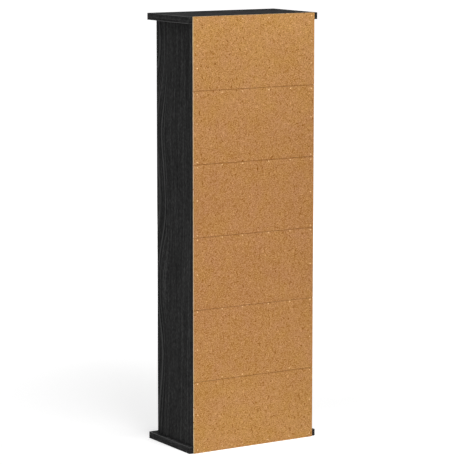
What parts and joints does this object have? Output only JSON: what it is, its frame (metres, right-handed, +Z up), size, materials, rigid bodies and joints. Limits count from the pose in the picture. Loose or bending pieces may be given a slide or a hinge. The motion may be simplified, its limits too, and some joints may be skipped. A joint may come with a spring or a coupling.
{
  "type": "cd cabinet",
  "caption": "Tall narrow open-front CD cabinet of dark oak-grain boards, with overhanging top and base, fixed shelves and a nailed strip hardboard back.",
  "frame": {"origin": "on the floor, under the middle of the cabinet's overall width and depth", "axes": "+Z up, +X to the right seen from the open front, +Y to the rear, so the open front faces -Y"},
  "size_m": [0.346, 0.1882, 1],
  "materials": {
    "black_oak": "satin black-brown oak-grain foil on particleboard, fine embossed pores",
    "hardboard": "matt tan fibreboard on the rear, dark foil on the inner face",
    "beech": "plain turned beech",
    "zinc": "cast zinc, dull grey",
    "steel": "bright zinc-plated steel"
  },
  "bodies": {
    "root": {"top_board": "black_oak", "bottom_board": "black_oak", "side_panel_left": "black_oak", "side_panel_right": "black_oak", "shelf_1": "black_oak", "shelf_2": "black_oak", "shelf_3": "black_oak", "shelf_4": "black_oak", "shelf_5": "black_oak", "back_strip_1": "hardboard", "back_strip_2": "hardboard", "back_strip_3": "hardboard", "back_strip_4": "hardboard", "back_strip_5": "hardboard", "back_strip_6": "hardboard", "cam_lock_top_left_front": "zinc", "cam_lock_top_left_rear": "zinc", "cam_lock_top_right_front": "zinc", "cam_lock_top_right_rear": "zinc", "cam_lock_bottom_left_front": "zinc", "cam_lock_bottom_left_rear": "zinc", "cam_lock_bottom_right_front": "zinc", "cam_lock_bottom_right_rear": "zinc", "cam_lock_shelf_3_left_front": "zinc", "cam_lock_shelf_3_left_rear": "zinc", "cam_lock_shelf_3_right_front": "zinc", "cam_lock_shelf_3_right_rear": "zinc", "cam_bolt_top_left_front": "steel", "cam_bolt_top_left_rear": "steel", "cam_bolt_top_right_front": "steel", "cam_bolt_top_right_rear": "steel", "cam_bolt_bottom_left_front": "steel", "cam_bolt_bottom_left_rear": "steel", "cam_bolt_bottom_right_front": "steel", "cam_bolt_bottom_right_rear": "steel", "cam_bolt_shelf_3_left_front": "steel", "cam_bolt_shelf_3_left_rear": "steel", "cam_bolt_shelf_3_right_front": "steel", "cam_bolt_shelf_3_right_rear": "steel", "dowel_top_left": "beech", "dowel_top_right": "beech", "dowel_bottom_left": "beech", "dowel_bottom_right": "beech", "dowel_shelf_1_left_front": "beech", "dowel_shelf_1_left_rear": "beech", "dowel_shelf_1_right_front": "beech", "dowel_shelf_1_right_rear": "beech", "dowel_shelf_2_left_front": "beech", "dowel_shelf_2_left_rear": "beech", "dowel_shelf_2_right_front": "beech", "dowel_shelf_2_right_rear": "beech", "dowel_shelf_4_left_front": "beech", "dowel_shelf_4_left_rear": "beech", "dowel_shelf_4_right_front": "beech", "dowel_shelf_4_right_rear": "beech", "dowel_shelf_5_left_front": "beech", "dowel_shelf_5_left_rear": "beech", "dowel_shelf_5_right_front": "beech", "dowel_shelf_5_right_rear": "beech"}
  },
  "joints": []
}
